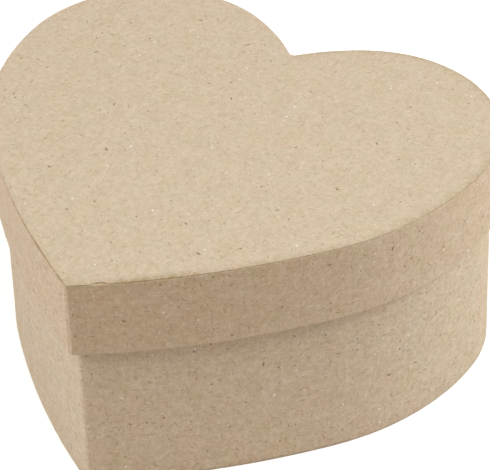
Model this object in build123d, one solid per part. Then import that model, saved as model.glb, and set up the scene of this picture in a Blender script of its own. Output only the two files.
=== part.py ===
"""Heart-shaped gift box of kraft-covered board with a lift-off lid.

Sizes are in millimetres and angles in degrees. The box stands on z = 0 with its point towards -Y,
its cleft towards +Y and the middle of its length and width on the Z axis.
"""
import os
from math import asin, atan2, cos, radians, sin, sqrt, tan

from build123d import *

# Outline of the lid, seen from above
LID_WIDTH = 135.0
LID_LENGTH = 125.2
LOBE_RADIUS = 35.7
LOBE_PAST_TOP = 25.0
CLEFT_SIDE_RADIUS = 57.3
POINT_HALF_ANGLE = 57.9
SIDE_RUN = 32.8

# Rounding of the point and of the cleft on the outside of each body
POINT_ROUND = 1.6
CLEFT_ROUND = 1.5

# Heights
BOX_HEIGHT = 65.2
LID_DEPTH = 21.9
BASE_HEM = 15.0
LID_HEM = 10.0

# Material thicknesses
PAPER = 0.25
TAPE = 0.15
WALL_BOARD = 1.4
PANEL_BOARD = 1.5

# Fits
GLUE = 0.1
LID_CLEARANCE = 0.35
LID_SEAT = 0.1
SHEET_MARGIN = 0.15
HEM_GAP = 0.5
SEAM_GAP = 0.3

# Tape
TAPE_REACH = 12.0
TAPE_END_GAP = 1.0

# Distances in from the lid's outside face
LID_WALL = PAPER + GLUE
LID_WALL_IN = LID_WALL + WALL_BOARD
LID_LINING = LID_WALL_IN + GLUE
LID_INSIDE = LID_LINING + PAPER
BASE_OUT = LID_INSIDE + LID_CLEARANCE
BASE_WALL = BASE_OUT + PAPER + GLUE
BASE_WALL_IN = BASE_WALL + WALL_BOARD
BASE_LINING = BASE_WALL_IN + GLUE
BASE_INSIDE = BASE_LINING + PAPER

# Levels
BASE_FOOT = PAPER + GLUE
BASE_WALL_LOW = BASE_FOOT + PAPER + GLUE
FLOOR_TOP = BASE_FOOT + PANEL_BOARD
FLOOR_LINING = FLOOR_TOP + GLUE
FLOOR_INSIDE = FLOOR_LINING + PAPER
LID_TOP_SHEET = BOX_HEIGHT - PAPER
LID_LIP = LID_TOP_SHEET - GLUE
LID_WALL_TOP = LID_LIP - PAPER - GLUE
LID_BOARD_LOW = LID_LIP - PANEL_BOARD
CEILING_LINING = LID_BOARD_LOW - GLUE
CEILING = CEILING_LINING - PAPER
BASE_TOP = CEILING - LID_SEAT
BASE_WALL_TOP = BASE_TOP - PAPER - GLUE
LID_LOW = BOX_HEIGHT - LID_DEPTH
LID_WALL_LOW = LID_LOW + PAPER + GLUE

# Headings along the right half of the outline, from the point round to the cleft
ACROSS = radians(0.0)
POINT_HEADING = radians(90.0 - POINT_HALF_ANGLE)
SIDE_HEADING = radians(90.0)
BACK_HEADING = radians(180.0)
LOBE_END = BACK_HEADING + radians(LOBE_PAST_TOP)


def along(heading):
    """Unit vector along a heading."""
    return Vector(cos(heading), sin(heading))


def outward(heading):
    """Unit vector out of the heart, at right angles to a heading."""
    return Vector(sin(heading), -cos(heading))


def side_arcs():
    """The lid's right side as tangent arcs: centre, radius, first heading, last heading."""
    tip = Vector(0, POINT_ROUND - LID_LENGTH / 2)
    start = tip + outward(POINT_HEADING) * POINT_ROUND
    lobe = Vector(LID_WIDTH / 2 - LOBE_RADIUS, LID_LENGTH / 2 - LOBE_RADIUS)
    widest = lobe + outward(SIDE_HEADING) * LOBE_RADIUS

    first = along(POINT_HEADING)
    last = along(SIDE_HEADING)
    span = widest - start
    spread = span.dot(last) + SIDE_RUN * (1 - first.dot(last))
    shoulder_run = (span.dot(span) / 2 - SIDE_RUN * span.dot(first)) / spread
    middle = (widest - last * shoulder_run) - (start + first * SIDE_RUN)
    turn = atan2(middle.Y, middle.X)
    side_radius = SIDE_RUN / tan((turn - POINT_HEADING) / 2)
    shoulder_radius = shoulder_run / tan((SIDE_HEADING - turn) / 2)

    side = start - outward(POINT_HEADING) * side_radius
    shoulder = widest - outward(SIDE_HEADING) * shoulder_radius
    cleft_side = lobe + outward(LOBE_END) * (LOBE_RADIUS - CLEFT_SIDE_RADIUS)
    return [
        (side, side_radius, POINT_HEADING, turn),
        (shoulder, shoulder_radius, turn, SIDE_HEADING),
        (lobe, LOBE_RADIUS, SIDE_HEADING, LOBE_END),
        (cleft_side, CLEFT_SIDE_RADIUS, LOBE_END, LOBE_END),
    ]


SIDE_ARCS = side_arcs()


def half_outline(inset, outside):
    """Right half of an outline as arcs, this far in from the lid's face, on the body with that outside."""
    side, side_radius, _, turn = SIDE_ARCS[0]
    cleft_side, cleft_radius, cleft_start, _ = SIDE_ARCS[-1]
    arcs = []

    tip_round = POINT_ROUND - (inset - outside)
    if tip_round > GLUE:
        reach = side_radius - outside - POINT_ROUND
        tip = Vector(0, side.Y - sqrt(reach**2 - side.X**2))
        side_start = asin(-side.X / reach)
        arcs.append((tip, tip_round, ACROSS, side_start))
    else:
        side_start = asin(-side.X / (side_radius - inset))
    arcs.append((side, side_radius - inset, side_start, turn))

    for centre, radius, start, end in SIDE_ARCS[1:-1]:
        arcs.append((centre, radius - inset, start, end))

    reach = cleft_radius - outside + CLEFT_ROUND
    notch = Vector(0, cleft_side.Y + sqrt(reach**2 - cleft_side.X**2))
    cleft_end = BACK_HEADING + asin(cleft_side.X / reach)
    arcs.append((cleft_side, cleft_radius - inset, cleft_start, cleft_end))
    arcs.append((notch, outside - inset - CLEFT_ROUND, cleft_end, BACK_HEADING))
    return arcs


def heart_wire(inset, outside):
    """Closed outline in the XY plane."""
    right = []
    for centre, radius, start, end in half_outline(inset, outside):
        points = [centre + outward(heading) * radius for heading in (start, (start + end) / 2, end)]
        right.append(points)
    left = [[Vector(-p.X, p.Y) for p in reversed(points)] for points in reversed(right)]

    loop = right + left
    edges = []
    for index, points in enumerate(loop):
        following = loop[(index + 1) % len(loop)]
        edges.append(ThreePointArc(points[0], points[1], following[0]))
    return Wire(edges)


def heart_plate(inset, outside, low, high):
    """Solid heart between two levels."""
    plate = extrude(Face(heart_wire(inset, outside)), high - low, dir=(0, 0, 1))
    return Pos(0, 0, low) * plate


def heart_band(outer, inner, outside, low, high):
    """Upright band that follows the outline, between two insets and two levels."""
    face = Face(heart_wire(outer, outside), [heart_wire(inner, outside)])
    return Pos(0, 0, low) * extrude(face, high - low, dir=(0, 0, 1))


def joint_zone(reach, towards_cleft):
    """Block round the joint at the cleft or at the point, this far to each side of the middle."""
    middle = LID_LENGTH / 2 if towards_cleft else -LID_LENGTH / 2
    return Pos(0, middle, BOX_HEIGHT / 2) * Box(2 * reach, LID_LENGTH, 2 * BOX_HEIGHT)


def side_zone(sign):
    """Block over one half of the box, clear of the joint between the halves."""
    block = Box(LID_WIDTH, 2 * LID_LENGTH, 2 * BOX_HEIGHT)
    return Pos(sign * (LID_WIDTH + GLUE) / 2, 0, BOX_HEIGHT / 2) * block


def taped_wall(name, outer, outside, low, high):
    """Two board strips butted at the point and the cleft, with paper tape let in over both joints."""
    strip = heart_band(outer, outer + WALL_BOARD, outside, low, high)
    rebate = heart_band(outer, outer + TAPE + GLUE, outside, low, high)
    tape = heart_band(outer, outer + TAPE, outside, low + TAPE_END_GAP, high - TAPE_END_GAP)
    pieces = {}
    for joint, towards_cleft in (("point", False), ("cleft", True)):
        strip -= rebate & joint_zone(TAPE_REACH + GLUE, towards_cleft)
        pieces[f"{name[0]}_{joint}_tape"] = tape & joint_zone(TAPE_REACH, towards_cleft)
    pieces[f"{name[0]}_{name[1]}_left"] = strip & side_zone(-1)
    pieces[f"{name[0]}_{name[1]}_right"] = strip & side_zone(1)
    return pieces


def paper_strip(outer, outside, low, high):
    """Strip of paper all round the outline, its two ends meeting at the cleft."""
    strip = heart_band(outer, outer + PAPER, outside, low, high)
    return strip - joint_zone(SEAM_GAP / 2, True)


def hemmed_wrap(outer, wall_in, outside, hem_edge, lip_edge, hem):
    """Paper round a wall, folded over one edge and on inside as a hem, and over the other as a narrow lip."""
    towards_lip = 1 if lip_edge > hem_edge else -1
    inner = wall_in + GLUE + PAPER
    fold_levels = sorted((hem_edge, hem_edge + towards_lip * PAPER))
    hem_levels = sorted((hem_edge, hem_edge + towards_lip * hem))
    lip_levels = sorted((lip_edge, lip_edge - towards_lip * PAPER))
    wrap = heart_band(outer, outer + PAPER, outside, *sorted((hem_edge, lip_edge)))
    wrap += heart_band(outer, inner, outside, *fold_levels)
    wrap += heart_band(inner - PAPER, inner, outside, *hem_levels)
    wrap += heart_band(outer, wall_in, outside, *lip_levels)
    return wrap - joint_zone(SEAM_GAP / 2, True)


def base_nodes():
    """Pieces of the base."""
    nodes = taped_wall(("base", "wall"), BASE_WALL, BASE_OUT, BASE_WALL_LOW, BASE_WALL_TOP)
    nodes["base_board"] = heart_plate(BASE_LINING, BASE_OUT, BASE_FOOT, FLOOR_TOP)
    nodes["base_wrap"] = hemmed_wrap(BASE_OUT, BASE_WALL_IN, BASE_OUT, BASE_TOP, BASE_FOOT, BASE_HEM)
    nodes["base_bottom_sheet"] = heart_plate(BASE_OUT + SHEET_MARGIN, BASE_OUT, 0, PAPER)
    nodes["base_floor_lining"] = heart_plate(BASE_LINING, BASE_OUT, FLOOR_LINING, FLOOR_INSIDE)
    lining_top = BASE_TOP - BASE_HEM - HEM_GAP
    nodes["base_wall_lining"] = paper_strip(BASE_LINING, BASE_OUT, FLOOR_INSIDE + GLUE, lining_top)
    return nodes


def lid_nodes():
    """Pieces of the lid."""
    nodes = taped_wall(("lid", "rim"), LID_WALL, 0, LID_WALL_LOW, LID_WALL_TOP)
    nodes["lid_board"] = heart_plate(LID_LINING, 0, LID_BOARD_LOW, LID_LIP)
    nodes["lid_wrap"] = hemmed_wrap(0, LID_WALL_IN, 0, LID_LOW, LID_LIP, LID_HEM)
    nodes["lid_top_sheet"] = heart_plate(SHEET_MARGIN, 0, LID_TOP_SHEET, BOX_HEIGHT)
    nodes["lid_ceiling_lining"] = heart_plate(LID_LINING, 0, CEILING, CEILING_LINING)
    lining_low = LID_LOW + LID_HEM + HEM_GAP
    nodes["lid_rim_lining"] = paper_strip(LID_LINING, 0, lining_low, CEILING - GLUE)
    return nodes


def main():
    """Write one file for each piece."""
    os.makedirs("parts", exist_ok=True)
    nodes = base_nodes()
    nodes.update(lid_nodes())
    for name, piece in nodes.items():
        piece.label = name
        export_step(piece, f"parts/{name}.step")


main()
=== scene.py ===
"""Heart-shaped gift box with a lift-off lid, covered in kraft paper and set on a plain white floor.

Lengths are in metres. The point of the heart faces -Y and the cleft +Y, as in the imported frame.
"""

from math import asin, atan2, ceil, cos, exp, pi, radians, sin, sqrt, tan

import bmesh
import bpy
from bpy.props import FloatProperty, FloatVectorProperty, PointerProperty
from mathutils import Matrix, Vector, noise


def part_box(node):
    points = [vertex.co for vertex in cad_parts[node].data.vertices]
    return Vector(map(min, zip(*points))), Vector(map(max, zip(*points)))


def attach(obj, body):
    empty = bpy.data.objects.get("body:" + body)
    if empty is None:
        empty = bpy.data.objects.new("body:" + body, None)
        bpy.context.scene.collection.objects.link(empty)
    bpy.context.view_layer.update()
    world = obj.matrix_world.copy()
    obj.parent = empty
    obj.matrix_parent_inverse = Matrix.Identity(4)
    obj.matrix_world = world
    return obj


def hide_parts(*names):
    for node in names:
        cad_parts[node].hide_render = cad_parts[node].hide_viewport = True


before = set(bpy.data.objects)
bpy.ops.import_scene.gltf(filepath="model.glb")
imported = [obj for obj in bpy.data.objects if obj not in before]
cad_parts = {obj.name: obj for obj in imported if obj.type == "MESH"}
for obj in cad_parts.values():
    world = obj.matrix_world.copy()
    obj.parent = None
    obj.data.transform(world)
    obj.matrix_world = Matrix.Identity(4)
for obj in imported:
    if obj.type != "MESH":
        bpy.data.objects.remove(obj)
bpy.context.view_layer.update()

bl_info = {
    "name": "Heart Gift Box",
    "version": (1, 0, 0),
    "blender": (4, 5, 0),
    "location": "View3D > Sidebar > Heart Box",
    "description": "Covers the heart-shaped box in kraft paper and sets it on a plain stage",
    "category": "Object",
}

MM = 0.001

# Headings along the right half of the outline, and the least rounding at the point
SIDE_HEADING = pi / 2
BACK_HEADING = pi
TIP_LEAST = 0.15 * MM

# Mesh: angle of a sharp edge, steps round a fold, along a wall and across a sheet, and a sheet's rings
SHARP_ANGLE = radians(35)
FOLD_STEPS = 5
ROW_STEP = 1.5 * MM
FLAT_STEP = 3.0 * MM
FLAT_OFFSET = 0.31
FLAT_RINGS = [ring * MM for ring in (0.0, 0.12, 0.25, 0.45, 0.7, 1.2, 2.5, 5.0)]
SAME_PLACE = 1e-6

# Lie of the paper: patches per metre and shares of a broad and a close ripple, about their mean
BROAD_RIPPLE, BROAD_SHARE = 45, 0.5
CLOSE_RIPPLE, CLOSE_SHARE = 160, 0.25
RIPPLE_MEAN = 0.55

# Of each paper: the seed of its ripple, the start of its pattern and its share of the ripple
LIES = {
    "lid_wrap": ((3, 0, 0), (0.0, 0.0), 1.0),
    "base_wrap": ((0, 5, 0), (0.07, 0.31), 1.0),
    "lid_top_sheet": ((0, 0, 9), (0.4, 0.2), 1.0),
    "base_bottom_sheet": ((4, 4, 0), (0.7, 0.5), 0.5),
    "lid_rim_lining": ((7, 0, 2), (0.2, 0.9), 1.0),
    "base_wall_lining": ((7, 1, 2), (0.2, 1.1), 1.0),
    "lid_ceiling_lining": ((1, 8, 0), (1.1, 0.6), 1.0),
    "base_floor_lining": ((1, 8, 1), (1.4, 0.6), 1.0),
}

# Blunted corner: patches per metre, mean and spread of its unevenness, and what it loses up to the top
BLUNT_GRAIN, BLUNT_MEAN, BLUNT_SPREAD = 700, 0.8, 0.4
BLUNT_FADE = 0.6

# Hand-cut edges: length and share of the slow and the quick straying, about their mean
SLOW_STRAY, SLOW_SHARE = 9 * MM, 0.6
QUICK_STRAY, QUICK_SHARE, QUICK_SEED = 1.7 * MM, 0.35, 7
STRAY_MEAN = 0.5
STRAY_SEED = 1e4
CUT_REACH = 1.5 * MM

# Folds and edges: reach of the fold's lean at the point, reach and strength of the wear, where the lip
# begins, and the glue that is left under an edge
LEAN_REACH = 7 * MM
FOLD_REACH, LIP_WEAR = 0.7 * MM, 0.05
EDGE_REACH, SHEET_WEAR, LINING_WEAR = 0.5 * MM, 0.2, 0.6
LIP_DROP, LIP_INSET = 0.2 * MM, 0.1 * MM
LEAST_GLUE = 0.01 * MM

# Stretches along the lid's edge: amount, middle and reach, from the point, with its left below 0
LIP_GLUE = (
    (0.26, -24 * MM, 26 * MM), (0.52, -17.5 * MM, 4.0 * MM), (0.50, -26.5 * MM, 2.4 * MM),
    (0.50, -36.5 * MM, 2.4 * MM), (0.60, -3.6 * MM, 1.8 * MM), (0.35, 8.4 * MM, 3.0 * MM),
    (0.50, 104 * MM, 18 * MM))
SHORT_CUTS = (
    (0.20 * MM, -24 * MM, 26 * MM), (0.15 * MM, -17 * MM, 6 * MM), (0.65 * MM, 8.0 * MM, 1.8 * MM),
    (0.20 * MM, 104 * MM, 16 * MM))
LOOSE_EDGES = ((1.0, 8.4 * MM, 1.6 * MM), (0.5, -17.5 * MM, 4.0 * MM), (0.5, -36.5 * MM, 2.4 * MM))
# Painted shade on the rim: along its right side, and more below the fold there. Beside the point: soiling
RIM_RIGHT_SHADE = (0.17, 0.0, 62 * MM)
RIM_SHADE_BY_FOLD = (0.16, 0.0, 115 * MM)
RIM_BY_POINT = (0.45, 2.4 * MM, 2.6 * MM)
# Darkening along the top sheet's right edge near the point: painted shade, with some soiling
SHEET_SHADE_AND_SOIL = (0.9, 19 * MM, 16 * MM)
NICK_CLEAN = (0.6, 8.5 * MM, 3.0 * MM)

# Depth of the painted shade below the rim's fold and of the soiling beside the point, and where the rim's
# right side begins
SHADE_BY_FOLD_DEPTH, BY_POINT_DEPTH = 2.0 * MM, 1.2 * MM
RIGHT_SIDE = 1.5 * MM

# Marks on the top sheet: amounts, and reach along the edge and in from it. Glue at the point and on the left,
# painted shade along the right edge
TIP_GLUE, TIP_MIDDLE, TIP_RUN, TIP_DEPTH = 0.48, -0.5 * MM, 3.0 * MM, 2.4 * MM
LEFT_GLUE, LEFT_DEPTH = 0.70, 0.6 * MM
RIGHT_EDGE_SHADE, RIGHT_DEPTH = 0.40, 1.25 * MM

# Kraft papers: setting of the colour, strength of the grain, share of the dark flecks
KRAFTS = {
    "lid_wrap_kraft": ("lid_wrap", 1.3, 0.75),
    "base_wrap_kraft": ("base_wrap", 1.35, 0.75),
    "sheet_kraft": ("sheet", 1.0, 0.6),
    "lining_kraft": ("lining", 1.0, 0.7),
}

# Cloudy patterns of the kraft: patches per millimetre, detail and roughness
CLOUDS = (0.20, 3.0, 0.6)
MOTTLE = (0.60, 3.0, 0.6)
GRAIN = (1.7, 3.0, 0.75)
DUST = (4.5, 1.0)
BLUSH = (0.13, 2.0, 0.6)
RUBBING = (0.5, 3.0, 0.6)
DAUBS = (0.7, 3.0, 0.6)

# Spans of those patterns that are eased from 0 to 1, the least rubbing and glue, and rubbing's cover
CLOUD_SPAN = (0.3, 0.7)
DAUB_SPAN = (0.34, 0.62)
RUB_LEAST, RUB_COVER = 0.3, 0.26
DAUB_LEAST = 0.4

# Tints of the kraft: dull and rosy patches, blue in the bleached ones, tone of the pulp, dark hairs
DULL, ROSY = (0.988, 1.006, 1.0), (1.012, 0.994, 1.0)
BLEACH_SHIFT, BLEACH_SPREAD, BLEACH_LEAST = (40.0, 90.0, 0.0), 0.045, 0.9775
TONE_SHARES = (0.34, 0.18, 0.31, 0.18)
TONE_FADE, TONE_WARMTH = 0.58, (0.80, 1.0, 1.18)
HAIR_TINT = (0.42, 0.30, 0.18)

# Fibres and flecks: size of a cell, share of the cells that hold one, half length and half width in
# millimetres, shift of the pattern and cover
HAIRS = {
    "pale_hairs": (1.7, 0.42, 1.00, 0.17, (5.0, 3.0, 0.0), 0.62),
    "pale_bits": (1.0, 0.40, 0.50, 0.15, (-37.0, 19.0, 0.0), 0.60),
    "fine_hairs": (1.0, 0.42, 0.50, 0.15, (17.0, 61.0, 0.0), 0.34),
    "dark_hairs": (1.9, 0.36, 1.05, 0.17, (53.0, -29.0, 0.0), 0.41),
}
CRUMBS = (4.2, 0.45, 0.45, 0.30, (-23.0, 7.0, 0.0), 0.75)
BARK = (8.5, 0.40, 0.85, 0.30, (71.0, 37.0, 0.0), 0.80)
BRIGHT_BITS = (9.5, 0.60, 0.48, 0.34, (-71.0, 43.0, 0.0), 0.90)
FIBRE_WANDER = (0.40, 0.40, 0.0)
FIBRE_BEND, FIBRE_EDGE = 1.2, 0.45

# Relief and gloss of the kraft
GRAIN_RISE, DUST_RISE, HAIR_RISE = 0.6, 0.25, 0.20
KRAFT_RELIEF, KRAFT_DEPTH = 0.6, 0.05 * MM
KRAFT_ROUGH = (0.94, 0.84)
PAPER_GLOSS = 0.25

# Board and tape: setting of the colour, scale of the patterns and roughness. Patterns: patches per metre,
# detail and roughness. Then their shares, tones, specks, spread of roughness and relief
PULPS = {"pulp_board": ("board", 1.0, 0.9), "paper_tape": ("tape", 1.6, 0.7)}
PULP_CLOUDS = (120.0, 3.0, 0.6)
PULP_GRAIN = (1500.0, 3.0, 0.65)
PULP_SPECKS = (700.0, 2.0, 0.6)
PULP_GRAIN_SHARE, PULP_CLOUD_SHARE = 0.6, 0.4
PULP_DARKEST, PULP_LIGHTEST = 0.78, 1.18
SPECK_SPAN, SPECK_COVER = (0.64, 0.72), 0.4
PULP_ROUGH_SPREAD = 0.06
PULP_RELIEF, PULP_DEPTH = 0.4, 0.1 * MM

# Stage: place and size of each softbox, their aim, the floor and the camera
SOFTBOXES = {
    "left": ((-1.017, -0.587, 0.284), 0.70),
    "right": ((0.819, 0.473, 0.774), 0.70),
    "front": ((-0.439, -0.760, 0.853), 0.45),
    "top": ((0.0, -0.021, 1.235), 0.70),
}
LIGHT_AIM = Vector((0, 0, 0.035))
FLOOR_HALF, FLOOR_DROP = 2.0, 0.1 * MM
SENSOR_WIDTH = 36.0
CLIP_NEAR, CLIP_FAR = 0.05, 20.0


def levels(node):
    """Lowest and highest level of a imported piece."""
    low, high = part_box(node)
    return low.z, high.z


def width(node):
    """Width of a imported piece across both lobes."""
    low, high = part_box(node)
    return high.x - low.x


LID_WIDTH = width("lid_wrap")
SHEET_LOW, SHEET_HIGH = levels("lid_top_sheet")


class HeartOutline(bpy.types.PropertyGroup):
    """Shape of the lid seen from above"""

    width: FloatProperty(
        name="Width", description="Width of the lid across both lobes",
        default=LID_WIDTH, min=0.02, subtype="DISTANCE")
    length: FloatProperty(
        name="Length", description="Length of the lid from the point to the tops of the lobes",
        default=125.2 * MM, min=0.02, subtype="DISTANCE")
    lobe_radius: FloatProperty(
        name="Lobe Radius", description="Radius of the round part of each lobe",
        default=35.7 * MM, min=0.005, subtype="DISTANCE")
    lobe_past_top: FloatProperty(
        name="Lobe Past Top", description="How far the lobe's arc runs on past its top, towards the cleft",
        default=radians(25.0), subtype="ANGLE")
    cleft_side_radius: FloatProperty(
        name="Cleft Side Radius", description="Radius of the outline where it drops into the cleft",
        default=57.3 * MM, min=0.005, subtype="DISTANCE")
    point_half_angle: FloatProperty(
        name="Point Half Angle", description="Angle between the middle line and either side at the point",
        default=radians(57.9), subtype="ANGLE")
    side_run: FloatProperty(
        name="Side Run", description="Tangent length of the arc next to the point",
        default=32.8 * MM, min=0.001, subtype="DISTANCE")
    point_round: FloatProperty(
        name="Point Round", description="Rounding of the paper over the point",
        default=1.6 * MM, min=0.0003, subtype="DISTANCE")
    cleft_round: FloatProperty(
        name="Cleft Round", description="Rounding of the paper in the cleft",
        default=1.5 * MM, min=0.0003, subtype="DISTANCE")


class PaperCut(bpy.types.PropertyGroup):
    """How the paper is cut, folded and glued down"""

    thickness: FloatProperty(
        name="Thickness", description="Thickness of the kraft paper",
        default=SHEET_HIGH - SHEET_LOW, min=0.00005, subtype="DISTANCE")
    fold_round: FloatProperty(
        name="Fold Round", description="Outside radius where the paper turns over a board edge",
        default=0.38 * MM, min=0.0003, subtype="DISTANCE")
    seam_gap: FloatProperty(
        name="Seam Gap", description="Gap between the two ends of a strip, in the cleft",
        default=0.3 * MM, min=0.0, subtype="DISTANCE")
    hem_gap: FloatProperty(
        name="Hem Gap", description="Gap between a turned-in hem and the lining next to it",
        default=0.5 * MM, min=0.0, subtype="DISTANCE")
    mesh_step: FloatProperty(
        name="Mesh Step", description="Distance between points along the outline",
        default=1.2 * MM, min=0.0005, subtype="DISTANCE")
    ripple: FloatProperty(
        name="Ripple", description="How far the glued paper lies unevenly on the board",
        default=0.08 * MM, min=0.0, subtype="DISTANCE")
    trim: FloatProperty(
        name="Trim", description="How far inside the outline a cover sheet is cut",
        default=0.10 * MM, min=0.0, subtype="DISTANCE")
    trim_wander: FloatProperty(
        name="Trim Wander", description="How far the hand-cut edge of a cover sheet strays",
        default=0.08 * MM, min=0.0, subtype="DISTANCE")
    blunting: FloatProperty(
        name="Blunting", description="How far the lid's corner at the point is flattened at its lower end",
        default=0.15 * MM, min=0.0, subtype="DISTANCE")
    lid_lean: FloatProperty(
        name="Lid Lean", description="How far to the right the fold of the lid's wrap stands at the point",
        default=-0.38 * MM, subtype="DISTANCE")
    base_lean: FloatProperty(
        name="Base Lean", description="How far to the right the fold of the base's wrap stands at the point",
        default=0.34 * MM, subtype="DISTANCE")


class PaperFinish(bpy.types.PropertyGroup):
    """Colours of the paper, the board and the tape"""

    sheet: FloatVectorProperty(
        name="Sheet", description="Kraft paper of the cover sheets",
        default=(0.699, 0.560, 0.418), min=0.0, max=1.0, subtype="COLOR")
    # Darker and warmer than the base wrap: partly the paper's own tone, partly painted shade on the rim
    lid_wrap: FloatVectorProperty(
        name="Lid Wrap", description="Kraft paper round the lid's rim",
        default=(0.700, 0.524, 0.367), min=0.0, max=1.0, subtype="COLOR")
    # Lighter than the lid wrap: partly the paper's own tone, partly painted light from the floor below
    base_wrap: FloatVectorProperty(
        name="Base Wrap", description="Kraft paper round the base's wall",
        default=(0.716, 0.558, 0.397), min=0.0, max=1.0, subtype="COLOR")
    lining: FloatVectorProperty(
        name="Lining", description="Kraft paper inside the box",
        default=(0.700, 0.545, 0.385), min=0.0, max=1.0, subtype="COLOR")
    fleck: FloatVectorProperty(
        name="Fleck", description="Dark bits of bark and fibre in the paper",
        default=(0.235, 0.135, 0.065), min=0.0, max=1.0, subtype="COLOR")
    pale_fibre: FloatVectorProperty(
        name="Pale Fibre", description="Pale fibres and rubbed edges",
        default=(0.840, 0.715, 0.580), min=0.0, max=1.0, subtype="COLOR")
    # Also the colour of the painted shade on the rim's right side and along the top sheet's right edge
    glue: FloatVectorProperty(
        name="Glue", description="Dried glue at the cut edges",
        default=(0.400, 0.290, 0.135), min=0.0, max=1.0, subtype="COLOR")
    board: FloatVectorProperty(
        name="Board", description="Grey-brown board under the paper",
        default=(0.330, 0.270, 0.205), min=0.0, max=1.0, subtype="COLOR")
    tape: FloatVectorProperty(
        name="Tape", description="Paper tape over the joints of the board",
        default=(0.560, 0.420, 0.270), min=0.0, max=1.0, subtype="COLOR")


class StudioStage(bpy.types.PropertyGroup):
    """Camera, lights and floor"""

    camera_place: FloatVectorProperty(
        name="Camera", description="Where the camera stands",
        default=(0.33225, -0.53135, 0.51742), size=3, subtype="TRANSLATION")
    camera_turn: FloatProperty(
        name="Turn", description="How far round to the right of the point the camera stands",
        default=radians(31.032), subtype="ANGLE")
    camera_tilt: FloatProperty(
        name="Tilt", description="How far the camera looks down",
        default=radians(37.4548), subtype="ANGLE")
    camera_roll: FloatProperty(
        name="Roll", description="How far the camera leans over",
        default=radians(-1.8916), subtype="ANGLE")
    lens: FloatProperty(
        name="Lens", description="Focal length on a sensor 36 mm wide",
        default=224.952, min=1.0, unit="CAMERA")
    left_power: FloatProperty(
        name="Left Light", description="Power of the broad soft light low on the left",
        default=5.2, min=0.0, unit="POWER")
    left_tint: FloatVectorProperty(
        name="Left Tint", description="Colour of the left light",
        default=(0.618, 0.772, 1.0), min=0.0, max=1.0, subtype="COLOR")
    right_power: FloatProperty(
        name="Right Light", description="Power of the broad soft light at the back on the right",
        default=11.6, min=0.0, unit="POWER")
    right_tint: FloatVectorProperty(
        name="Right Tint", description="Colour of the right light",
        default=(0.867, 0.962, 1.0), min=0.0, max=1.0, subtype="COLOR")
    front_power: FloatProperty(
        name="Front Light",
        description="Power of the smaller light in front, which shades the base under the lid",
        default=4.8, min=0.0, unit="POWER")
    front_tint: FloatVectorProperty(
        name="Front Tint", description="Colour of the front light",
        default=(0.990, 1.0, 0.857), min=0.0, max=1.0, subtype="COLOR")
    top_power: FloatProperty(
        name="Top Light", description="Power of the soft light overhead",
        default=2.17, min=0.0, unit="POWER")
    top_tint: FloatVectorProperty(
        name="Top Tint", description="Colour of the top light",
        default=(0.998, 1.0, 0.890), min=0.0, max=1.0, subtype="COLOR")
    ambient: FloatVectorProperty(
        name="Ambient", description="Even light from all round",
        default=(0.139, 0.082, 0.057), min=0.0, max=1.0, subtype="COLOR")
    floor: FloatVectorProperty(
        name="Floor", description="Colour of the floor",
        default=(0.80, 0.80, 0.80), min=0.0, max=1.0, subtype="COLOR")
    floor_lift: FloatProperty(
        name="Floor Lift", description="Share of white that the camera sees on the floor besides its light",
        default=0.60, min=0.0, max=1.0, subtype="FACTOR")


class HeartBoxSettings(bpy.types.PropertyGroup):
    """Everything about the box that can be changed"""

    outline: PointerProperty(type=HeartOutline)
    paper: PointerProperty(type=PaperCut)
    finish: PointerProperty(type=PaperFinish)
    stage: PointerProperty(type=StudioStage)


def along(heading):
    """Unit vector along a heading."""
    return Vector((cos(heading), sin(heading), 0))


def outward(heading):
    """Unit vector out of the heart, at right angles to a heading."""
    return Vector((sin(heading), -cos(heading), 0))


def side_arcs(outline):
    """The lid's right side as tangent arcs: centre, radius, first heading, last heading."""
    point_heading = SIDE_HEADING - outline.point_half_angle
    lobe_end = BACK_HEADING + outline.lobe_past_top
    tip = Vector((0, outline.point_round - outline.length / 2, 0))
    start = tip + outward(point_heading) * outline.point_round
    lobe = Vector((outline.width / 2 - outline.lobe_radius, outline.length / 2 - outline.lobe_radius, 0))
    widest = lobe + outward(SIDE_HEADING) * outline.lobe_radius

    first = along(point_heading)
    last = along(SIDE_HEADING)
    span = widest - start
    spread = span.dot(last) + outline.side_run * (1 - first.dot(last))
    shoulder_run = (span.dot(span) / 2 - outline.side_run * span.dot(first)) / spread
    middle = (widest - last * shoulder_run) - (start + first * outline.side_run)
    turn = atan2(middle.y, middle.x)
    side_radius = outline.side_run / tan((turn - point_heading) / 2)
    shoulder_radius = shoulder_run / tan((SIDE_HEADING - turn) / 2)

    side = start - outward(point_heading) * side_radius
    shoulder = widest - outward(SIDE_HEADING) * shoulder_radius
    cleft_side = lobe + outward(lobe_end) * (outline.lobe_radius - outline.cleft_side_radius)
    return [
        (side, side_radius, point_heading, turn),
        (shoulder, shoulder_radius, turn, SIDE_HEADING),
        (lobe, outline.lobe_radius, SIDE_HEADING, lobe_end),
        (cleft_side, outline.cleft_side_radius, lobe_end, lobe_end),
    ]


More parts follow.
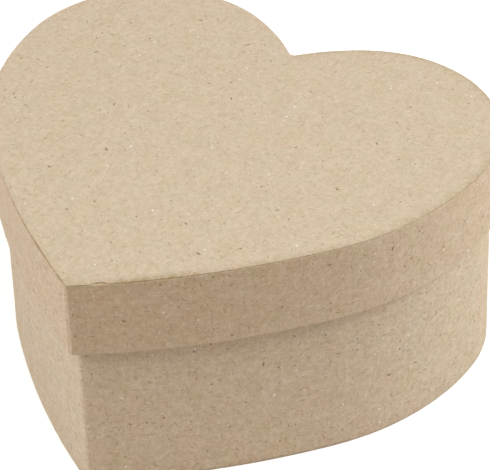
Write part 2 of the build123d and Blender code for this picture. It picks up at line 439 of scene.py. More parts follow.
def half_outline(outline, inset, outside, gap):
    """Right half of an outline as arcs from the point to the cleft, on the body with that outside."""
    arcs = side_arcs(outline)
    side, side_radius, _, turn = arcs[0]
    cleft_side, cleft_radius, cleft_start, _ = arcs[-1]

    tip_round = max(outline.point_round - (inset - outside), TIP_LEAST)
    reach = side_radius - inset - tip_round
    tip = Vector((0, side.y - sqrt(reach**2 - side.x**2), 0))
    side_start = asin(-side.x / reach)
    half = [(tip, tip_round, 0.0, side_start), (side, side_radius - inset, side_start, turn)]
    half += [(centre, radius - inset, start, end) for centre, radius, start, end in arcs[1:-1]]

    reach = cleft_radius - outside + outline.cleft_round
    notch = Vector((0, cleft_side.y + sqrt(reach**2 - cleft_side.x**2), 0))
    notch_round = outline.cleft_round + inset - outside
    cleft_end = BACK_HEADING + asin(cleft_side.x / reach)
    seam = BACK_HEADING + asin(gap / 2 / notch_round)
    half.append((cleft_side, cleft_radius - inset, cleft_start, cleft_end))
    half.append((notch, -notch_round, cleft_end, seam))
    return half


def trace(outline, paper, inset, outside, gap):
    """Points round an outline, from the left of the cleft by the point to the right of the cleft."""
    counts = [
        max(FOLD_STEPS, ceil(abs(radius * (end - start)) / paper.mesh_step))
        for _, radius, start, end in half_outline(outline, outside, outside, gap)
    ]
    arcs = half_outline(outline, inset, outside, gap)
    bm = bmesh.new()
    tip = bm.verts.new(arcs[0][0] + outward(0.0) * arcs[0][1])
    halves = []
    for side in (-1, 1):
        last = tip
        points = []
        for (centre, _, start, end), count in zip(arcs, counts):
            known = len(bm.verts)
            bmesh.ops.spin(
                bm, geom=[last], cent=(side * centre.x, centre.y, 0), axis=(0, 0, 1),
                angle=side * (end - start), steps=count)
            bm.verts.ensure_lookup_table()
            points += bm.verts[known:]
            last = points[-1]
        halves.append([vert.co.copy() for vert in points])
    points = [*reversed(halves[0]), tip.co.copy(), *halves[1]]
    bm.free()
    return points if gap else points[:-1]


def runs_along(points):
    """Distance of each point along a traced outline, counted from the heart's point."""
    runs = [0.0]
    for here, there in zip(points, points[1:]):
        runs.append(runs[-1] + (there - here).length)
    tip = min(range(len(points)), key=lambda index: points[index].y)
    return [run - runs[tip] for run in runs]


def lay_rows(bm, rows, runs, closed):
    """Extrude a strip of faces row by row. A row has points, its distance along the paper, wear, and stains
    with painted shade.
    """
    marks = {name: bm.verts.layers.float.new(name) for name in ("run", "rise", "wear", "stain")}
    verts, edges = [], []
    for points, rise, wear, stain in rows:
        if not verts:
            verts = [bm.verts.new(point) for point in points]
            ring = verts + verts[:1] if closed else verts
            edges = [bm.edges.new(pair) for pair in zip(ring, ring[1:])]
        else:
            grown = bmesh.ops.extrude_edge_only(bm, edges=edges)["geom"]
            edges = [part for part in grown if isinstance(part, bmesh.types.BMEdge)]
            fresh = {part for part in grown if isinstance(part, bmesh.types.BMVert)}
            verts = [
                next(edge.other_vert(vert) for edge in vert.link_edges if edge.other_vert(vert) in fresh)
                for vert in verts
            ]
        for index, vert in enumerate(verts):
            vert.co = points[index]
            vert[marks["run"]] = runs[index]
            vert[marks["rise"]] = rise
            vert[marks["wear"]] = wear[index]
            vert[marks["stain"]] = stain[index]
    return edges


def face_towards(bm, is_right_way):
    """Turn the sheet over if its first face points the wrong way."""
    bm.normal_update()
    bm.faces.ensure_lookup_table()
    if not is_right_way(bm.faces[0]):
        bmesh.ops.reverse_faces(bm, faces=bm.faces[:])
    bm.normal_update()


def press_in(bm, depth, seed):
    """Let the paper lie unevenly, always towards the board."""
    for vert in bm.verts:
        broad = noise.noise(vert.co * BROAD_RIPPLE + seed)
        close = noise.noise(vert.co * CLOSE_RIPPLE + seed)
        share = RIPPLE_MEAN + BROAD_SHARE * broad + CLOSE_SHARE * close
        vert.co -= vert.normal * depth * min(max(share, 0.0), 1.0)
    bm.normal_update()


def blunt(bm, tip, height, depth):
    """Flatten the corner at the point, most at its lower end and a little unevenly."""
    for vert in bm.verts:
        up = min(max((vert.co.z - tip.z) / height, 0.0), 1.0)
        uneven = BLUNT_MEAN + BLUNT_SPREAD * noise.noise(vert.co * BLUNT_GRAIN)
        vert.co.y = max(vert.co.y, tip.y + depth * (1.0 - BLUNT_FADE * up) * min(uneven, 1.0))
    bm.normal_update()


def finish_paper(bm, thickness, from_runs, pattern_shift):
    """Give the sheet its thickness towards the board, smooth shading and a map in metres."""
    bmesh.ops.solidify(bm, geom=bm.faces[:], thickness=thickness)
    layers = bm.verts.layers.float
    run, rise = layers["run"], layers["rise"]
    paper_map = bm.loops.layers.uv.new("paper")
    for face in bm.faces:
        face.smooth = True
        for loop in face.loops:
            vert = loop.vert
            place = Vector((vert[run], vert[rise])) if from_runs else vert.co.xy
            loop[paper_map].uv = place + pattern_shift
    layers.remove(layers["run"])
    layers.remove(layers["rise"])


def lay_paper(bm, paper, node, from_runs):
    """Lay a sheet on its board unevenly, and give it its thickness and map."""
    seed, pattern_shift, share = LIES[node]
    press_in(bm, paper.ripple * share, Vector(seed))
    finish_paper(bm, paper.thickness, from_runs, Vector(pattern_shift))


def make_piece(bm, name, body, node, material):
    """Object for a finished mesh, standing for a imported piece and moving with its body."""
    mesh = bpy.data.meshes.new(name)
    bm.to_mesh(mesh)
    bm.free()
    mesh.set_sharp_from_angle(angle=SHARP_ANGLE)
    mesh.materials.append(material)
    piece = bpy.data.objects.new(name, mesh)
    bpy.context.scene.collection.objects.link(piece)
    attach(piece, body)
    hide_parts(node)


def bump_at(run, amount, middle, reach):
    """Amount at a place along an edge: whole at the middle of a stretch, and nothing past its reach."""
    return amount * exp(-((run - middle) / reach) ** 4)


def glue_on_lip(run):
    """Dried glue on the lip of a wrap, where the cover sheet leaves it bare."""
    return max(bump_at(run, *stretch) for stretch in LIP_GLUE)


def soil_and_shade_on_rim(run, below):
    """Painted shade and soiling of the rim: painted shade, light along the right side and more below the
    fold, and soiling beside the point, the most.
    """
    right = min(max(run / RIGHT_SIDE, 0.0), 1.0)
    darkened = right * bump_at(run, *RIM_RIGHT_SHADE)
    shade_by_fold = right * bump_at(run, *RIM_SHADE_BY_FOLD) * exp(-(below / SHADE_BY_FOLD_DEPTH) ** 2)
    by_point = bump_at(run, *RIM_BY_POINT) * exp(-(below / BY_POINT_DEPTH) ** 2)
    return max(darkened + shade_by_fold, by_point)


def wrap_section(outside, wall_in, inner, height, hem, fold):
    """Section of a wrap as inset and distance from the hem's fold, from the lip's cut edge to the hem's."""
    section = [(wall_in, height), ((wall_in + outside + fold) / 2, height)]
    turns = [step / FOLD_STEPS * pi / 2 for step in range(FOLD_STEPS + 1)]
    section += [(outside + fold * (1 - sin(turn)), height - fold * (1 - cos(turn))) for turn in turns]
    rows = ceil((height - 2 * fold) / ROW_STEP)
    section += [(outside, height - fold - (height - 2 * fold) * row / rows) for row in range(1, rows)]
    section += [(outside + fold * (1 - cos(turn)), fold * (1 - sin(turn))) for turn in turns]
    section += [(inner - fold * (1 - sin(turn)), fold * (1 - cos(turn))) for turn in turns]
    rows = ceil((hem - fold) / ROW_STEP)
    section += [(inner, fold + (hem - fold) * row / rows) for row in range(1, rows + 1)]
    return section


def make_wrap(settings, hem_edge, lip_edge, outside, lining, hem, lean, soil_and_shade_at):
    """Paper round a wall, turned over one edge as a hem and over the other as a narrow lip."""
    outline, paper = settings.outline, settings.paper
    glue = SHEET_LOW - levels("lid_wrap")[1]
    inner = lining + paper.thickness
    height = abs(lip_edge - hem_edge)
    towards_lip = 1 if lip_edge > hem_edge else -1
    section = wrap_section(outside, lining - glue, inner, height, hem, paper.fold_round)

    runs = runs_along(trace(outline, paper, outside, outside, paper.seam_gap))
    rows, rise, last = [], 0.0, Vector(section[0])
    for inset, drop in section:
        rise += (Vector((inset, drop)) - last).length
        last = Vector((inset, drop))
        points = trace(outline, paper, inset, outside, paper.seam_gap)
        outer = (inner - inset) / (inner - outside)
        for point, run in zip(points, runs):
            point.x += lean * outer * exp(-(run / LEAN_REACH) ** 2)
            point.z = hem_edge + towards_lip * drop
        to_hem, to_lip = ((last - Vector((outside, edge))).length for edge in (0, height))
        wear = max(exp(-to_hem / FOLD_REACH), LIP_WEAR * exp(-to_lip / FOLD_REACH))
        lip = 1.0 if drop > height - LIP_DROP and inset > outside + LIP_INSET else 0.0
        # Glue on the lip; on the lid, also the rim's soiling and its painted shade
        stain = [max(lip * glue_on_lip(run), outer * soil_and_shade_at(run, height - drop)) for run in runs]
        rows.append((points, rise, [wear] * len(runs), stain))

    bm = bmesh.new()
    lay_rows(bm, rows, runs, False)
    face_towards(bm, lambda face: face.normal.z * towards_lip > 0)
    return bm


def stray(run, seed):
    """How far a hand-cut edge strays at a place along it, from 0 to 1."""
    slow = noise.noise(Vector((run / SLOW_STRAY, seed, 0)))
    quick = noise.noise(Vector((run / QUICK_STRAY, seed, QUICK_SEED)))
    return max(min(STRAY_MEAN + SLOW_SHARE * slow + QUICK_SHARE * quick, 1.0), 0.0)


def short_cut(run):
    """How much further in the top sheet is cut: left of the point, in a nick right of it, at the back."""
    return sum(bump_at(run, *stretch) for stretch in SHORT_CUTS)


def stuck_down(run):
    """How firmly a sheet's edge is stuck: it stands off at the nick and in two places on the left."""
    return 1.0 - max(bump_at(run, *stretch) for stretch in LOOSE_EDGES)


def make_flat(settings, inset, outside, level, facing, wander, further_in, edge_marks_at):
    """Heart-shaped sheet with its face at a level: rings round the edge, and a grid inside them."""
    outline, paper = settings.outline, settings.paper
    droop = SHEET_LOW - levels("lid_wrap")[1] - LEAST_GLUE
    runs = runs_along(trace(outline, paper, inset, outside, 0.0))
    rows = []
    for ring in FLAT_RINGS:
        edge = exp(-ring / EDGE_REACH)
        here = trace(outline, paper, inset + ring, outside, 0.0)
        inside = trace(outline, paper, inset + ring + MM, outside, 0.0)
        points, wear, stain = [], [], []
        for point, further, run in zip(here, inside, runs):
            cut = wander * stray(run, inset * STRAY_SEED) + further_in(run)
            place = point.lerp(further, cut / MM * exp(-ring / CUT_REACH))
            place.z = level - facing * droop * stuck_down(run) * edge
            points.append(place)
            wear.append(edge * SHEET_WEAR)
            stain.append(edge_marks_at(run, ring))
        rows.append((points, 0.0, wear, stain))

    bm = bmesh.new()
    edges = lay_rows(bm, rows, runs, True)
    inside = bmesh.ops.contextual_create(bm, geom=edges)["faces"]
    geom = list(inside)
    geom += {edge for face in inside for edge in face.edges}
    geom += {vert for face in inside for vert in face.verts}
    for axis, half in ((0, outline.width / 2), (1, outline.length / 2)):
        count = ceil(half / FLAT_STEP)
        for step in range(-count, count + 1):
            place, across = Vector((0, 0, 0)), Vector((0, 0, 0))
            place[axis] = (step + FLAT_OFFSET) * FLAT_STEP
            across[axis] = 1.0
            geom = bmesh.ops.bisect_plane(
                bm, geom=geom, dist=SAME_PLACE, plane_co=place, plane_no=across)["geom"]
    face_towards(bm, lambda face: face.normal.z * facing > 0)
    return bm


def glue_and_shade_at_edge(run, ring):
    """Marks at the top sheet's edge: glue on the left and at the point, painted shade on the right, stronger
    near the point and partly soiling there.
    """
    to_tip = TIP_GLUE * exp(-((run - TIP_MIDDLE) / TIP_RUN) ** 2 - (ring / TIP_DEPTH) ** 2)
    if run < 0:
        return max(to_tip, LEFT_GLUE * exp(-ring / LEFT_DEPTH) * glue_on_lip(run))
    # Darker band along the right edge: painted shade of the rounded edge, and some soiling near the point
    darkened = bump_at(run, *SHEET_SHADE_AND_SOIL) * (1.0 - bump_at(run, *NICK_CLEAN))
    return max(to_tip, max(RIGHT_EDGE_SHADE, darkened) * exp(-(ring / RIGHT_DEPTH) ** 2))


def no_cut(run):
    """A sheet cut evenly all round."""
    return 0.0


def no_glue(run, ring):
    """A paper with no glue, soiling or painted shade to be seen."""
    return 0.0


def make_wall_lining(settings, inset, outside, low, high):
    """Strip of paper on the inside of a wall."""
    outline, paper = settings.outline, settings.paper
    points = trace(outline, paper, inset, outside, paper.seam_gap)
    runs = runs_along(points)
    count = ceil((high - low) / ROW_STEP)
    rows = []
    for row in range(count + 1):
        level = low + (high - low) * row / count
        to_edge = min(level - low, high - level)
        rows.append((
            [Vector((point.x, point.y, level)) for point in points], level,
            [LINING_WEAR * exp(-to_edge / EDGE_REACH)] * len(points), [0.0] * len(points)))
    bm = bmesh.new()
    lay_rows(bm, rows, runs, False)
    face_towards(bm, lambda face: face.normal.dot(face.calc_center_median()) < 0)
    return bm


def add_node(tree, kind, inputs=None, **options):
    """Node with its options set and its inputs filled with values or links."""
    node = tree.nodes.new(kind)
    for option, value in options.items():
        setattr(node, option, value)
    for name, value in (inputs or {}).items():
        socket = node.inputs[name]
        if isinstance(value, bpy.types.NodeSocket):
            tree.links.new(value, socket)
        else:
            socket.default_value = value
    return node


def add_maths(tree, operation, *values):
    """Result of one sum on numbers or sockets."""
    node = add_node(tree, "ShaderNodeMath", dict(enumerate(values)), operation=operation)
    return node.outputs[0]


def add_range(tree, value, low, high, to_low=0.0, to_high=1.0):
    """Value eased from one range into another."""
    node = add_node(tree, "ShaderNodeMapRange", {
        "Value": value, "From Min": low, "From Max": high, "To Min": to_low, "To Max": to_high,
    }, interpolation_type="SMOOTHSTEP")
    return node.outputs["Result"]


def add_mix(tree, share, first, second):
    """Colour between two colours."""
    node = add_node(tree, "ShaderNodeMix", {0: share, 6: first, 7: second}, data_type="RGBA")
    return node.outputs[2]


def add_noise(tree, place, scale, detail=2.0, rough=0.5, flat=True):
    """Cloudy pattern, about one patch for each unit of 1 / scale."""
    node = add_node(tree, "ShaderNodeTexNoise", {
        "Vector": place, "Scale": scale, "Detail": detail, "Roughness": rough,
    }, noise_dimensions="2D" if flat else "3D")
    return node.outputs["Fac"]


def moved(tree, place, shift):
    """Place shifted sideways, so that two patterns differ."""
    return add_node(tree, "ShaderNodeVectorMath", {0: place, 1: shift}, operation="ADD").outputs[0]


def add_flecks(tree, place, cell, kept, half_length, half_width, shift):
    """Scattered short fibres, each turned, bent and sized by chance: a share of the cells hold one."""
    place = moved(tree, place, shift)
    cells = add_node(tree, "ShaderNodeTexVoronoi", {
        "Vector": place, "Scale": 1.0 / cell}, voronoi_dimensions="2D")
    chance = add_node(tree, "ShaderNodeSeparateColor", {"Color": cells.outputs["Color"]}).outputs
    size = add_range(tree, chance["Red"], 1.0 - kept, 1.0)
    offset = add_node(tree, "ShaderNodeVectorMath", {
        0: place, 1: cells.outputs["Position"]}, operation="SUBTRACT").outputs[0]
    turned = add_node(tree, "ShaderNodeVectorRotate", {
        "Vector": offset, "Angle": add_maths(tree, "MULTIPLY", chance["Green"], 2 * pi),
    }, rotation_type="Z_AXIS").outputs[0]
    local = add_node(tree, "ShaderNodeSeparateXYZ", {"Vector": turned}).outputs
    either_way = add_maths(tree, "SUBTRACT", chance["Blue"], 0.5)
    bend = add_maths(tree, "MULTIPLY", either_way, FIBRE_BEND / half_length)
    arch = add_maths(tree, "MULTIPLY", add_maths(tree, "MULTIPLY", local["X"], local["X"]), bend)
    across = add_maths(tree, "DIVIDE", add_maths(tree, "ADD", local["Y"], arch), half_width)
    lengthways = add_maths(tree, "DIVIDE", local["X"], half_length)
    squared = add_maths(tree, "MULTIPLY", lengthways, lengthways)
    away = add_maths(tree, "SQRT", add_maths(tree, "MULTIPLY_ADD", across, across, squared))
    return add_range(tree, add_maths(tree, "SUBTRACT", size, away), 0.0, FIBRE_EDGE)


def colour(value):
    """Colour with its alpha."""
    return (*value, 1.0)


def tinted(shade, tint):
    """Colour multiplied part by part."""
    return tuple(part * share for part, share in zip(shade, tint))


def lay_over(tree, shade, pattern, cover, tint):
    """Colour with a pattern in another colour over it."""
    return add_mix(tree, add_maths(tree, "MULTIPLY", pattern, cover), shade, tint)


def start_material(name):
    """New material and its empty node tree."""
    material = bpy.data.materials.new(name)
    material.use_nodes = True
    material.node_tree.nodes.clear()
    return material, material.node_tree


def kraft_material(name, finish):
    """Kraft paper: soft clouds, fine grain, hairs, bark flecks, rubbed folds, glue at the cut edges, and
    painted shade on the lid's shaded side.
    """
    setting, grain_strength, speckle = KRAFTS[name]
    kraft = getattr(finish, setting)
    material, tree = start_material(name)
    paper_map = add_node(tree, "ShaderNodeUVMap", uv_map="paper")
    place = add_node(tree, "ShaderNodeMapping", {
        "Vector": paper_map.outputs[0], "Scale": (1 / MM, 1 / MM, 1.0)}).outputs[0]
    wisps = add_node(tree, "ShaderNodeTexNoise", {
        "Vector": place, "Scale": 2.6, "Detail": 2.0, "Roughness": 0.6}, noise_dimensions="2D")
    ragged = add_node(tree, "ShaderNodeVectorMath", {
        0: wisps.outputs["Color"], 1: FIBRE_WANDER, 2: place}, operation="MULTIPLY_ADD").outputs[0]

    clouds = add_noise(tree, place, *CLOUDS)
    mottle = add_noise(tree, place, *MOTTLE)
    grain = add_noise(tree, place, *GRAIN)
    dust = add_noise(tree, place, *DUST)
    blush = add_range(tree, add_noise(tree, place, *BLUSH), *CLOUD_SPAN)
    bleach = add_range(tree, add_noise(tree, moved(tree, place, BLEACH_SHIFT), *BLUSH), *CLOUD_SPAN)
    base = add_mix(tree, blush, colour(tinted(kraft, DULL)), colour(tinted(kraft, ROSY)))
    blue = add_maths(tree, "MULTIPLY_ADD", bleach, BLEACH_SPREAD, BLEACH_LEAST)
    shift = add_node(tree, "ShaderNodeCombineXYZ", {"X": 1.0, "Y": 1.0, "Z": blue}).outputs[0]
    base = add_node(tree, "ShaderNodeVectorMath", {0: base, 1: shift}, operation="MULTIPLY").outputs[0]

    tone = 0.0
    for pattern, share in zip((grain, dust, mottle, clouds), TONE_SHARES):
        lift = add_maths(tree, "MULTIPLY", add_maths(tree, "SUBTRACT", pattern, 0.5), share * grain_strength)
        tone = add_maths(tree, "ADD", lift, tone)
    pulp = tinted([kraft[1] * (part / kraft[1]) ** TONE_FADE for part in kraft], TONE_WARMTH)
    shade = add_node(tree, "ShaderNodeVectorMath", {
        0: tone, 1: pulp, 2: base}, operation="MULTIPLY_ADD").outputs[0]

    fleck, pale = colour(finish.fleck), colour(finish.pale_fibre)
    near_white = colour(tuple((part + 1.0) / 2 for part in finish.pale_fibre))
    hair = colour(tinted(kraft, HAIR_TINT))
    hairs = {}
    for kind, tint in (("pale_hairs", pale), ("pale_bits", pale), ("fine_hairs", hair), ("dark_hairs", hair)):
        *pattern, cover = HAIRS[kind]
        hairs[kind] = add_flecks(tree, ragged, *pattern)
        shade = lay_over(tree, shade, hairs[kind], cover * grain_strength, tint)
    for cell, kept, half_length, half_width, shift, cover in (CRUMBS, BARK):
        flecks = add_flecks(tree, ragged, cell, kept * speckle, half_length, half_width, shift)
        shade = lay_over(tree, shade, flecks, cover, fleck)
    *pattern, cover = BRIGHT_BITS
    shade = lay_over(tree, shade, add_flecks(tree, ragged, *pattern), cover, near_white)

    wear = add_node(tree, "ShaderNodeAttribute", attribute_name="wear").outputs["Fac"]
    patchy = add_range(tree, add_noise(tree, place, *RUBBING), *CLOUD_SPAN, RUB_LEAST)
    shade = lay_over(tree, shade, add_maths(tree, "MULTIPLY", wear, patchy), RUB_COVER, pale)
    # Glue colour laid as dried glue and soiling, and as painted shade on the rim's right side and the top
    # sheet's right edge
    stain = add_node(tree, "ShaderNodeAttribute", attribute_name="stain").outputs["Fac"]
    daubs = add_range(tree, add_noise(tree, place, *DAUBS), *DAUB_SPAN, DAUB_LEAST)
    shade = lay_over(tree, shade, stain, daubs, colour(finish.glue))

    height = add_maths(tree, "MULTIPLY_ADD", grain, GRAIN_RISE, add_maths(tree, "MULTIPLY", dust, DUST_RISE))
    height = add_maths(tree, "MULTIPLY_ADD", hairs["pale_hairs"], HAIR_RISE, height)
    height = add_maths(tree, "MULTIPLY_ADD", hairs["dark_hairs"], -HAIR_RISE, height)
    bump = add_node(tree, "ShaderNodeBump", {
        "Height": height, "Strength": KRAFT_RELIEF, "Distance": KRAFT_DEPTH * grain_strength})
    shader = add_node(tree, "ShaderNodeBsdfPrincipled", {
        "Base Color": shade, "Roughness": add_range(tree, grain, *CLOUD_SPAN, *KRAFT_ROUGH),
        "Specular IOR Level": PAPER_GLOSS, "Normal": bump.outputs[0]})
    add_node(tree, "ShaderNodeOutputMaterial", {"Surface": shader.outputs[0]})
    return material


def pulp_material(name, finish):
    """Board or tape: pulp with soft clouds, grain and flecks, through the thickness."""
    setting, scale, rough = PULPS[name]
    pulp = getattr(finish, setting)
    material, tree = start_material(name)
    place = add_node(tree, "ShaderNodeTexCoord").outputs["Object"]
    clouds, grain, specks = (
        add_noise(tree, place, patches * scale, detail, roughness, flat=False)
        for patches, detail, roughness in (PULP_CLOUDS, PULP_GRAIN, PULP_SPECKS))
    dark, light = (
        colour(tuple(min(1.0, tone * part) for part in pulp)) for tone in (PULP_DARKEST, PULP_LIGHTEST))
    mixed = add_maths(tree, "MULTIPLY", clouds, PULP_CLOUD_SHARE)
    mixed = add_maths(tree, "MULTIPLY_ADD", grain, PULP_GRAIN_SHARE, mixed)
    shade = add_mix(tree, add_range(tree, mixed, *CLOUD_SPAN), dark, light)
    shade = lay_over(tree, shade, add_range(tree, specks, *SPECK_SPAN), SPECK_COVER, colour(finish.fleck))
    bump = add_node(tree, "ShaderNodeBump", {
        "Height": grain, "Strength": PULP_RELIEF, "Distance": PULP_DEPTH})
    roughness = add_range(tree, grain, *CLOUD_SPAN, rough + PULP_ROUGH_SPREAD, rough - PULP_ROUGH_SPREAD)
    shader = add_node(tree, "ShaderNodeBsdfPrincipled", {
        "Base Color": shade, "Roughness": roughness,
        "Specular IOR Level": PAPER_GLOSS, "Normal": bump.outputs[0]})
    add_node(tree, "ShaderNodeOutputMaterial", {"Surface": shader.outputs[0]})
    return material


def shared_material(name, make, finish):
    """Material of that name, made on first use."""
    return bpy.data.materials.get(name) or make(name, finish)


def inset_of(node):
    """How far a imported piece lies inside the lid's face, at the lobes."""
    return (LID_WIDTH - width(node)) / 2


class HEARTBOX_OT_wraps(bpy.types.Operator):
    """Wrap the rim of the lid and the wall of the base in kraft paper"""

    bl_idname = "heartbox.wraps"
    bl_label = "Kraft Wraps"
    bl_options = {"REGISTER", "UNDO"}

    def execute(self, context):
        settings = context.scene.heart_box
        paper, finish = settings.paper, settings.finish

        material = shared_material("lid_wrap_kraft", kraft_material, finish)
        low, high = levels("lid_wrap")
        hem = levels("lid_rim_lining")[0] - paper.hem_gap - low
        bm = make_wrap(
            settings, low, high, 0.0, inset_of("lid_ceiling_lining"), hem, paper.lid_lean, soil_and_shade_on_rim)
        blunt(bm, Vector((0, -settings.outline.length / 2, low)), high - low, paper.blunting)
        lay_paper(bm, paper, "lid_wrap", True)
        make_piece(bm, "lid_wrap_paper", "lid", "lid_wrap", material)

        material = shared_material("base_wrap_kraft", kraft_material, finish)
        low, high = levels("base_wrap")
        hem = high - levels("base_wall_lining")[1] - paper.hem_gap
        bm = make_wrap(
            settings, high, low, inset_of("base_wrap"), inset_of("base_floor_lining"), hem,
            paper.base_lean, no_glue)
        lay_paper(bm, paper, "base_wrap", True)
        make_piece(bm, "base_wrap_paper", "base", "base_wrap", material)
        return {"FINISHED"}


class HEARTBOX_OT_sheets(bpy.types.Operator):
    """Glue the cover sheets over the top of the lid and under the base"""

    bl_idname = "heartbox.sheets"
    bl_label = "Cover Sheets"
    bl_options = {"REGISTER", "UNDO"}

    def execute(self, context):
        settings = context.scene.heart_box
        paper, finish = settings.paper, settings.finish
        material = shared_material("sheet_kraft", kraft_material, finish)

        bm = make_flat(
            settings, paper.trim, 0.0, SHEET_HIGH, 1, paper.trim_wander, short_cut, glue_and_shade_at_edge)
        lay_paper(bm, paper, "lid_top_sheet", False)
        make_piece(bm, "lid_top_paper", "lid", "lid_top_sheet", material)

        low, _ = levels("base_bottom_sheet")
        outside = inset_of("base_wrap")
        bm = make_flat(
            settings, outside + paper.trim, outside, low, -1, paper.trim_wander, no_cut, no_glue)
        lay_paper(bm, paper, "base_bottom_sheet", False)
        make_piece(bm, "base_bottom_paper", "base", "base_bottom_sheet", material)
        return {"FINISHED"}


class HEARTBOX_OT_linings(bpy.types.Operator):
    """Line the inside of the rim, the wall, the top and the floor"""

    bl_idname = "heartbox.linings"
    bl_label = "Linings"
    bl_options = {"REGISTER", "UNDO"}

    def execute(self, context):
        settings = context.scene.heart_box
        paper, finish = settings.paper, settings.finish
        material = shared_material("lining_kraft", kraft_material, finish)
        base_outside = inset_of("base_wrap")
        walls = (
            ("lid", "lid_rim_lining", "lid_ceiling_lining", 0.0),
            ("base", "base_wall_lining", "base_floor_lining", base_outside),
        )
        for body, node, beside, outside in walls:
            low, high = levels(node)
            bm = make_wall_lining(settings, inset_of(beside) + paper.thickness, outside, low, high)
            lay_paper(bm, paper, node, True)
            make_piece(bm, node + "_paper", body, node, material)

        flats = (
            ("lid", "lid_ceiling_lining", 0.0, levels("lid_ceiling_lining")[0], -1),
            ("base", "base_floor_lining", base_outside, levels("base_floor_lining")[1], 1),
        )
        for body, node, outside, level, facing in flats:
            bm = make_flat(settings, inset_of(node), outside, level, facing, 0.0, no_cut, no_glue)
            lay_paper(bm, paper, node, False)
            make_piece(bm, node + "_paper", body, node, material)
        return {"FINISHED"}


class HEARTBOX_OT_boards(bpy.types.Operator):
    """Give the board panels and strips, and the tape over their joints, their finishes"""

    bl_idname = "heartbox.boards"
    bl_label = "Board and Tape"
    bl_options = {"REGISTER", "UNDO"}

    def execute(self, context):
        finish = context.scene.heart_box.finish
        board = shared_material("pulp_board", pulp_material, finish)
        tape = shared_material("paper_tape", pulp_material, finish)
        for name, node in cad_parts.items():
            if node.hide_render:
                continue
            node.data.materials.clear()
            node.data.materials.append(tape if name.endswith("tape") else board)
        return {"FINISHED"}


class HEARTBOX_OT_stage(bpy.types.Operator):
    """Set up the floor, the lights and the camera"""

    bl_idname = "heartbox.stage"
    bl_label = "Studio Stage"
    bl_options = {"REGISTER", "UNDO"}

    def execute(self, context):
        scene = context.scene
        stage = scene.heart_box.stage
        scene.view_settings.view_transform = "Standard"
        add_floor(scene, stage)
        add_surroundings(scene, stage)
        for side, (place, size) in SOFTBOXES.items():
            power, tint = getattr(stage, side + "_power"), getattr(stage, side + "_tint")
            add_softbox(scene, side + "_light", place, size, power, tint)
        add_camera(scene, stage)
        return {"FINISHED"}


def white_rays(tree):
    """One for the rays that should see plain white: straight to the camera, or by a mirror or glass."""
    path = add_node(tree, "ShaderNodeLightPath")
    seen = add_maths(tree, "ADD", path.outputs["Is Camera Ray"], path.outputs["Is Glossy Ray"])
    seen = add_maths(tree, "ADD", seen, path.outputs["Is Transmission Ray"])
    return add_maths(tree, "MINIMUM", seen, 1.0)


def add_floor(scene, stage):
    """Plain pale floor that keeps the shadow."""
    bm = bmesh.new()
    bmesh.ops.create_grid(bm, x_segments=1, y_segments=1, size=FLOOR_HALF)
    bmesh.ops.translate(bm, verts=bm.verts[:], vec=(0, 0, -FLOOR_DROP))
    mesh = bpy.data.meshes.new("floor")
    bm.to_mesh(mesh)
    bm.free()
    material, tree = start_material("floor_white")
    matt = add_node(tree, "ShaderNodeBsdfDiffuse", {"Color": colour(stage.floor)})
    lift = add_node(tree, "ShaderNodeEmission", {
        "Strength": add_maths(tree, "MULTIPLY", white_rays(tree), stage.floor_lift)})
    both = add_node(tree, "ShaderNodeAddShader", {0: matt.outputs[0], 1: lift.outputs[0]})
    add_node(tree, "ShaderNodeOutputMaterial", {"Surface": both.outputs[0]})
    mesh.materials.append(material)
    floor = bpy.data.objects.new("floor", mesh)
    scene.collection.objects.link(floor)


def add_surroundings(scene, stage):
    """Even light from all round, seen as white."""
    world = bpy.data.worlds.new("surroundings")
    world.use_nodes = True
    tree = world.node_tree
    tree.nodes.clear()
    even = add_node(tree, "ShaderNodeBackground", {"Color": colour(stage.ambient)})
    white = add_node(tree, "ShaderNodeBackground", {"Color": (1.0, 1.0, 1.0, 1.0)})
    either = add_node(tree, "ShaderNodeMixShader", {
        0: white_rays(tree), 1: even.outputs[0], 2: white.outputs[0]})
    add_node(tree, "ShaderNodeOutputWorld", {"Surface": either.outputs[0]})
    scene.world = world


def add_softbox(scene, name, place, size, power, tint):
    """Soft square light, aimed at the middle of the box."""
    lamp = bpy.data.lights.new(name, "AREA")
    lamp.shape = "SQUARE"
    lamp.size = size
    lamp.energy = power
    lamp.color = tint
    light = bpy.data.objects.new(name, lamp)
    light.location = place
    aim = LIGHT_AIM - light.location
    light.rotation_euler = aim.to_track_quat("-Z", "Y").to_euler()
    scene.collection.objects.link(light)


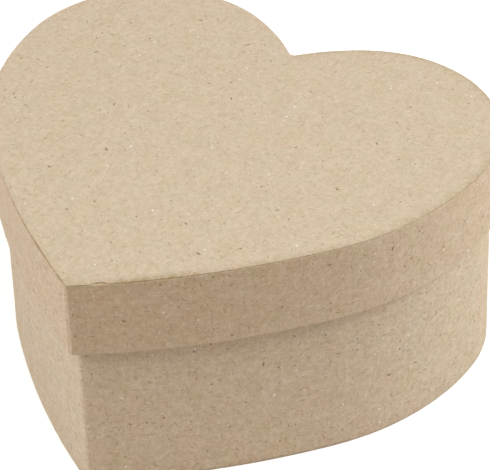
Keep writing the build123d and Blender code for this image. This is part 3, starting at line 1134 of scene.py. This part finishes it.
def add_camera(scene, stage):
    """Camera at the photo's viewing angle."""
    lens = bpy.data.cameras.new("camera")
    lens.sensor_width = SENSOR_WIDTH
    lens.sensor_fit = "HORIZONTAL"
    lens.lens = stage.lens
    lens.clip_start, lens.clip_end = CLIP_NEAR, CLIP_FAR
    camera = bpy.data.objects.new("camera", lens)
    turned = Matrix.Rotation(stage.camera_turn, 4, "Z")
    turned @= Matrix.Rotation(pi / 2 - stage.camera_tilt, 4, "X")
    turned @= Matrix.Rotation(stage.camera_roll, 4, "Z")
    camera.matrix_world = Matrix.Translation(stage.camera_place) @ turned
    scene.collection.objects.link(camera)
    scene.camera = camera


class HEARTBOX_PT_panel(bpy.types.Panel):
    """Builds the box piece by piece and holds its settings"""

    bl_idname = "HEARTBOX_PT_panel"
    bl_label = "Heart Box"
    bl_space_type = "VIEW_3D"
    bl_region_type = "UI"
    bl_category = "Heart Box"

    def draw(self, context):
        layout = self.layout
        settings = context.scene.heart_box
        for operator in OPERATORS:
            layout.operator(operator.bl_idname)
        for group in (settings.outline, settings.paper, settings.finish, settings.stage):
            box = layout.box()
            box.label(text=group.bl_rna.name)
            for prop in group.bl_rna.properties:
                if prop.identifier not in {"rna_type", "name"}:
                    box.prop(group, prop.identifier)


OPERATORS = (
    HEARTBOX_OT_wraps,
    HEARTBOX_OT_sheets,
    HEARTBOX_OT_linings,
    HEARTBOX_OT_boards,
    HEARTBOX_OT_stage,
)
CLASSES = (
    HeartOutline, PaperCut, PaperFinish, StudioStage, HeartBoxSettings, *OPERATORS, HEARTBOX_PT_panel)


def register():
    for cls in CLASSES:
        bpy.utils.register_class(cls)
    bpy.types.Scene.heart_box = PointerProperty(type=HeartBoxSettings)


def unregister():
    del bpy.types.Scene.heart_box
    for cls in reversed(CLASSES):
        bpy.utils.unregister_class(cls)


def main():
    """Build every piece and the stage."""
    register()
    bpy.ops.heartbox.wraps()
    bpy.ops.heartbox.sheets()
    bpy.ops.heartbox.linings()
    bpy.ops.heartbox.boards()
    bpy.ops.heartbox.stage()


if __name__ == "__main__":
    main()
